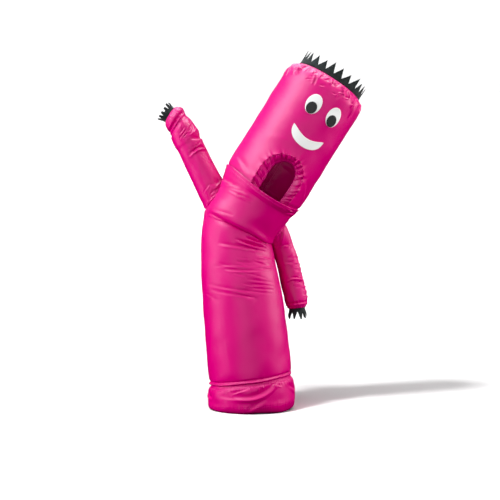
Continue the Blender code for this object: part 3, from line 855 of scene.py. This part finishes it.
# The lowered sleeve hangs head down, so its turns run from the front towards the trunk, and its
# creases are listed from the trunk's side outwards.
LOWERED_CREASES = table(
    Crease,
    (4, .106, -48, .046, 0, .007, -.0036, 0),
    (14, .1, -38, .038, 0, .007, .0034, .2),
    (-8, .113, -38, .119, 0, .004, .0036, .5),
    (8, .246, -72, .262, 0, .0042, .0056, .9),
    (0, .268, -50, .276, 0, .005, .002, .6),
    (100, .351, -112, .353, 0, .0042, .0056, .6),
    (20, .18, -30, .192, 0, .006, .0018, .5),
    # the ripples down the outer side
    (-40, .19, -100, .196, 0, .005, .0016, .8),
    (-44, .211, -104, .214, 0, .004, .0026, .9),
    (-38, .229, -98, .236, 0, .0042, .003, .9),
    (-46, .247, -110, .249, 0, .0036, .002, .9),
    (-36, .286, -104, .291, 0, .0044, .0032, .9),
    (-46, .306, -100, .309, 0, .0036, .0022, .9),
    (-42, .325, -112, .331, 0, .0042, .0028, .9),
)
RAISED_STREWN = table(
    Strewn,
    (26, .368, 44, .024, .45, .05, .004, .003, 13, 65),
    (30, .29, 34, .016, .1, .04, .004, .0024, 5, 66),
    (20, .1, 40, .022, .5, .05, .004, .0034, 8, 67),
)
LOWERED_STREWN = table(
    Strewn,
    (-66, .25, 30, .09, .1, .04, .0038, .003, 18, 75),
    (-10, .23, 26, .08, .14, .05, .0042, .0016, 7, 76),
    (-20, .11, 30, .024, .5, .05, .0042, .003, 5, 77),
)
SleeveCloth = namedtuple("SleeveCloth", "name rings creases seed")
SLEEVES = table(
    SleeveCloth,
    ("raised", RAISED_RINGS, RAISED_CREASES + strew(RAISED_STREWN, .052), 61),
    ("lowered", LOWERED_RINGS, LOWERED_CREASES + strew(LOWERED_STREWN, .048), 71),
)
SLEEVE_COLUMNS = 132
SLEEVE_RADIUS = 0.052
ROOT_WELTS = table(Welt, (0, .0030, -.0012))


def sleeve_root(tube, columns, body, step=0.002):
    """How far up a sleeve each of its columns comes out through the body's cloth."""
    wall = BVHTree.FromObject(body, bpy.context.evaluated_depsgraph_get())
    turns = np.linspace(-180, 180, columns + 1)
    places = np.arange(0.0, tube[0][-1] * 0.7, step)
    roots = np.zeros(columns + 1)
    rows = [on_tube(tube, turns, np.full(columns + 1, up)) for up in places]
    for column in range(columns + 1):
        for row in range(len(places) - 1, 0, -1):
            start, end = Vector(rows[row][column]), Vector(rows[row - 1][column])
            hit = wall.ray_cast(start, (end - start).normalized(), (end - start).length)
            if hit[0] is not None:
                roots[column] = places[row] - hit[3]
                break
    return np.convolve(np.pad(roots, 2, "wrap"), np.full(5, 0.2), "valid")


for sleeve in SLEEVES:
    tube = follow(sleeve.rings)
    length = tube[0][-1]
    roots = sleeve_root(tube, SLEEVE_COLUMNS, body_cloth)
    cloth, share, up = cut_cloth(f"sleeve_{sleeve.name}_cloth", 0.34, length, SLEEVE_COLUMNS, 150)
    turn = share * 360 - 180
    root = np.interp(turn, np.linspace(-180, 180, SLEEVE_COLUMNS + 1), roots) - 0.0010
    up = root + (length - root) * up / length
    root_way, wrist_way = up - root, length - up
    free = eased(root_way, 0.03) * eased(wrist_way, 0.02)
    out = crumpled(turn, up, SLEEVE_RADIUS, sleeve.creases)
    out = out * eased(root_way, 0.012) * eased(wrist_way, 0.012)
    out += slack(turn, up, sleeve.seed, 0.0005) * free
    for way, pleats, reach in ((root_way, Pleats(.056, 22, sleeve.seed + 1, .0026, .042), 0.006),
                               (wrist_way, Pleats(.045, 20, sleeve.seed + 2, .0026, .070), 0.008),
                               (wrist_way, Pleats(.045, 17, sleeve.seed + 3, .0028, .024), 0.005)):
        out += gathers(turn, way, pleats) * eased(way, reach)
    out += welts(root_way, ROOT_WELTS)
    mark_seams(cloth, [(root_way, arc(turn, .057)), (wrist_way, arc(turn, .035))])
    shape_cloth(cloth, on_tube(tube, turn, up, out), pink_taffeta)
    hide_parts(f"sleeve_{sleeve.name}")
    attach(cloth, "root")


# Face edging: a strip of the taffeta sewn behind the edge of the face opening and drawn inwards by
# elastic in the hem of its inner edge, in uneven puffs. It is broad on the -X side.
EDGING_TURN = 17.0         # degrees from the front to the middle of the hole that it leaves
EDGING_HOLE = 0.0640       # half of the hole's width
EDGING_HOLE_TOP = 0.128
EDGING_FOOT = -0.036
EDGING_DEPTH = 0.022       # how far inside the head its inner edge lies
EDGING_PUFF = 0.0120
EDGING_CUT = (0.66, 0.040)


def doorway(half, top, foot, share):
    """Places round a doorway's edge: up one side, over its round top and down the other."""
    spring = top - half
    straight = spring - foot
    way = (2 * straight + math.pi * half) * share
    turn = math.pi - np.clip((way - straight) / half, 0, math.pi)
    rise = np.minimum(way, 2 * straight + math.pi * half - way)
    arched = turn * (math.pi - turn) > 0
    return half * np.cos(turn), np.where(arched, spring + half * np.sin(turn), foot + rise)


edging, share, up = cut_cloth("face_ruffle_cloth", *EDGING_CUT, 380, 36)
t = up / EDGING_CUT[1]
outer_x, outer_up = doorway(OPENING_HALF + 0.006, OPENING_TOP + 0.006, EDGING_FOOT, 1 - share)
inner_x, inner_up = doorway(EDGING_HOLE, EDGING_HOLE_TOP, EDGING_FOOT, 1 - share)
edge, along = opening_edge(OPENING_TURN + np.degrees(outer_x / HEAD_RADIUS), outer_up - HEAD_START)
drawn = scallops(along)
# It starts behind the head's cloth, rises through the opening, swells out over the head's edge between
# the gathers, and then turns in to its hole.
across = t - 0.26 * (1 - drawn) * groove(t - 0.40, 0.11) + 0.10 * (1 - drawn) * t ** 3
turn = (OPENING_TURN + np.degrees(outer_x / HEAD_RADIUS)) * (1 - across) + (
    EDGING_TURN + np.degrees(inner_x / HEAD_RADIUS)) * across
height = outer_up + (inner_up - outer_up) * across
sink = 0.0026 + 0.0026 * drawn + EDGING_DEPTH * t ** 1.9
puff = (EDGING_PUFF + slack(along * 4200, t * 0, 44, 0.0026)) * eased(height - 0.004, 0.024)
sink -= (1 - drawn) * puff * eased(t - 0.16, 0.14) * (1 - eased(t - 0.42, 0.50))
sink += slack(along * 9000, t * 0.04, 45, 0.0009) * eased(t, 0.4) * (1 - eased(t - 0.75, 0.25))
sink -= 0.0018 * groove(t - 0.94, 0.05)
sink += 0.0045 * np.clip((0.03 - height) / 0.066, 0, 1)
mark_seams(edging, [((1 - t) * EDGING_CUT[1], along)])
shape_cloth(edging, on_tube(head_tube, turn, height - HEAD_START, -sink), pink_taffeta)
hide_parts("face_ruffle")
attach(edging, "root")


# Cuffs and hair: strips of stiff black felt with a zigzag cut by hand in one edge. The hair stands
# round the crown's seam; each cuff is held inside a sleeve's end by its elastic, tabs outwards.
# Felt is matted fibre, so it has no grain direction and shows only a dull fluff of short hairs,
# really 0.02 mm thick, which are drawn 1.5 mm apart.
felt, tree, shader = new_material("black polyester felt", 0.92, 0.15)
shader["Sheen Weight"].default_value = 0.04
shader["Sheen Roughness"].default_value = 0.6
place = add_node(tree, "TexCoord", {})["Object"]
fibres = noise(tree, place, 650.0, 4.0, 0.7)
fluffy = maths(tree, "MULTIPLY", fibres, noise(tree, place, 60.0, 2.0))
tree.links.new(mix(tree, fluffy, linear("151818"), linear("444A49")), shader["Base Color"])
tree.links.new(bump(tree, 0.7, 0.0007, fibres), shader["Normal"])

TOOTH_STEPS = 10
# A strip with a toothed edge: blunt is the share of a tooth's width that is its flat tip, shortest and
# tallest are how its teeth differ, and tips are the steps across a tooth at which its tip may lie.
Zigzag = namedtuple("Zigzag", "teeth band tooth blunt shortest tallest tips seed bend"
                              " wave_seed wave thickness")


def sew_zigzag(name, tube, radius, strip):
    """Sew a strip of felt round the foot of a tube, with teeth of uneven height, lean and bend along
    its free edge. Returns it and the area of felt in it."""
    around = 2 * math.pi * radius
    chance = np.random.RandomState(strip.seed)
    tall = chance.uniform(strip.shortest, strip.tallest, strip.teeth)
    tip = chance.choice(strip.tips, strip.teeth) / TOOTH_STEPS
    aside = chance.uniform(-0.14, 0.22, strip.teeth)
    bend = chance.uniform(-0.4, 1.0, strip.teeth) * strip.bend
    cloth, share, up = cut_cloth(name, around, strip.band + strip.tooth, strip.teeth * TOOTH_STEPS, 16)
    column = np.round(share * strip.teeth * TOOTH_STEPS).astype(int)
    which = np.minimum(column // TOOTH_STEPS, strip.teeth - 1)
    phase = column / TOOTH_STEPS - which
    slope = np.where(phase < tip[which], phase / tip[which], (1 - phase) / (1 - tip[which]))
    peak = np.clip(slope / (1 - strip.blunt), 0, 1) ** 1.1
    up = up / (strip.band + strip.tooth) * (strip.band + strip.tooth * peak * tall[which])
    over = np.clip((up - strip.band) / strip.tooth, 0, 1)
    turn = share * 360 - 180 + over * aside[which] * 360 / strip.teeth
    out = over ** 1.6 * bend[which] + slack(turn, up * 0, strip.wave_seed, strip.wave) * eased(up, 0.012)
    shape_cloth(cloth, on_tube(tube, turn, up, out), felt, strip.thickness)
    return cloth, around * (strip.band + strip.tooth * tall.mean() * (1 + strip.blunt) / 2)


HAIR = Zigzag(24, .016, .042, 0, .76, 1.10, (5, 5, 6, 7), 5, .006, 81, .0008, .0016)
HAIR_RADIUS = 0.1398
hair_tube = follow([head_ring(.4927, HAIR_RADIUS), head_ring(.5087, .1394), head_ring(.5600, .1400)])
hair, area = sew_zigzag("hair_fringe_felt", hair_tube, HAIR_RADIUS, HAIR)
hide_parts("hair_fringe")
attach(hair, "root")

CUFF_RADIUS = 0.0318
CUFFS = {"raised": Zigzag(12, .017, .023, .42, .80, 1.12, (4, 5, 6), 2, .004, 92, .0006, .0014),
         "lowered": Zigzag(10, .019, .031, .20, .86, 1.08, (4, 5, 6), 7, .004, 97, .0006, .0014)}
for sleeve in SLEEVES:
    end = sleeve.rings[-1]
    lean = math.radians(end.lean)
    cuff_tube = follow([
        Ring(end.x + math.sin(lean) * along, end.y, end.z + math.cos(lean) * along, end.lean, radius)
        for along, radius in ((-.006, CUFF_RADIUS), (.008, .0335), (.024, .0375), (.056, .0420))
    ])
    strip = CUFFS[sleeve.name]
    cuff, area = sew_zigzag(f"cuff_{sleeve.name}_felt", cuff_tube, CUFF_RADIUS, strip)
    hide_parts(f"cuff_{sleeve.name}")
    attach(cuff, "root")


# Face: two oval eyes with oval pupils, and a crescent smile, cut from matt polyester cloth and sewn
# flat onto the head tube close to their edges. The cloth is closely woven and napped, which gives it
# a flat, even colour with a slight grain, really 0.3 mm wide and drawn 1.5 mm wide.
def napped_cloth(name, hex_colour, shade):
    """Matt polyester cloth in one colour, a little mottled with a shade of it."""
    material, tree, shader = new_material(name, 0.7, 0.25)
    nap = noise(tree, add_node(tree, "TexCoord", {})["Object"], 650.0, 2.0)
    tree.links.new(mix(tree, nap, linear(hex_colour), linear(shade)), shader["Base Color"])
    tree.links.new(bump(tree, 0.4, 0.0003, nap), shader["Normal"])
    return material


white_cloth = napped_cloth("white napped polyester", "E2E2E0", "D2D2D0")
black_cloth = napped_cloth("black napped polyester", "262626", "343434")
PATCH_THICKNESS = 0.0009
EYE_TURN = 16.0            # degrees from the middle of the face to the middle of an eye
Patch = namedtuple("Patch", "name wide tall height lift cloth slot")
EYE_PATCHES = table(
    Patch,
    ("eye_white", .060, .081, .3630, .0013, white_cloth, "white_patch"),
    ("pupil", .041, .048, .3468, .0025, black_cloth, "black_patch"),
)


def sew_on(patch, across, rise, turn, height, lift, material):
    """Lay a flat shape on the head's cloth at a place, just clear of it."""
    turns = turn + np.degrees(across / HEAD_RADIUS)
    up = height + rise - HEAD_START
    shape_cloth(patch, on_tube(head_tube, turns, up, head_out(turns, up) + lift), material, PATCH_THICKNESS)


for side, sign in (("left", -1), ("right", 1)):
    for patch in EYE_PATCHES:
        cloth, share, up = cut_cloth(f"{patch.name}_{side}_cloth", 1.0, 1.0, 64, 12)
        angle = share * 2 * math.pi
        sew_on(cloth, patch.wide / 2 * up * np.cos(angle), patch.tall / 2 * up * np.sin(angle),
               FACE_TURN + sign * EYE_TURN, patch.height, patch.lift, patch.cloth)
        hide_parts(f"{patch.name}_{side}")
        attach(cloth, "root")

# The smile's lower line is nearly a half ellipse and its upper line a shallow dip, so that it is thick
# as far as its blunt ends.
SMILE_HALF, SMILE_HEIGHT, SMILE_LIFT = 0.0720, 0.262, 0.0013
LOWER_DROP, UPPER_DROP = 0.0605, 0.0235
LOWER_POWER, UPPER_POWER = 0.41, 1.35


def smile_lines(spread):
    """The heights of the smile's lower and upper lines, from one end (-1) to the other (1)."""
    return (-LOWER_DROP * (1 - spread ** 2) ** LOWER_POWER, -UPPER_DROP * (1 - spread ** 2) ** UPPER_POWER)


smile, share, up = cut_cloth("smile_cloth", 1.0, 1.0, 96, 16)
spread = np.sin((share - 0.5) * math.pi)
lower, upper = smile_lines(spread)
sew_on(smile, SMILE_HALF * spread, lower + (upper - lower) * up, FACE_TURN, SMILE_HEIGHT, SMILE_LIFT,
       white_cloth)
lower, upper = smile_lines(np.linspace(-1, 1, 2001))
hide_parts("smile")
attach(smile, "root")
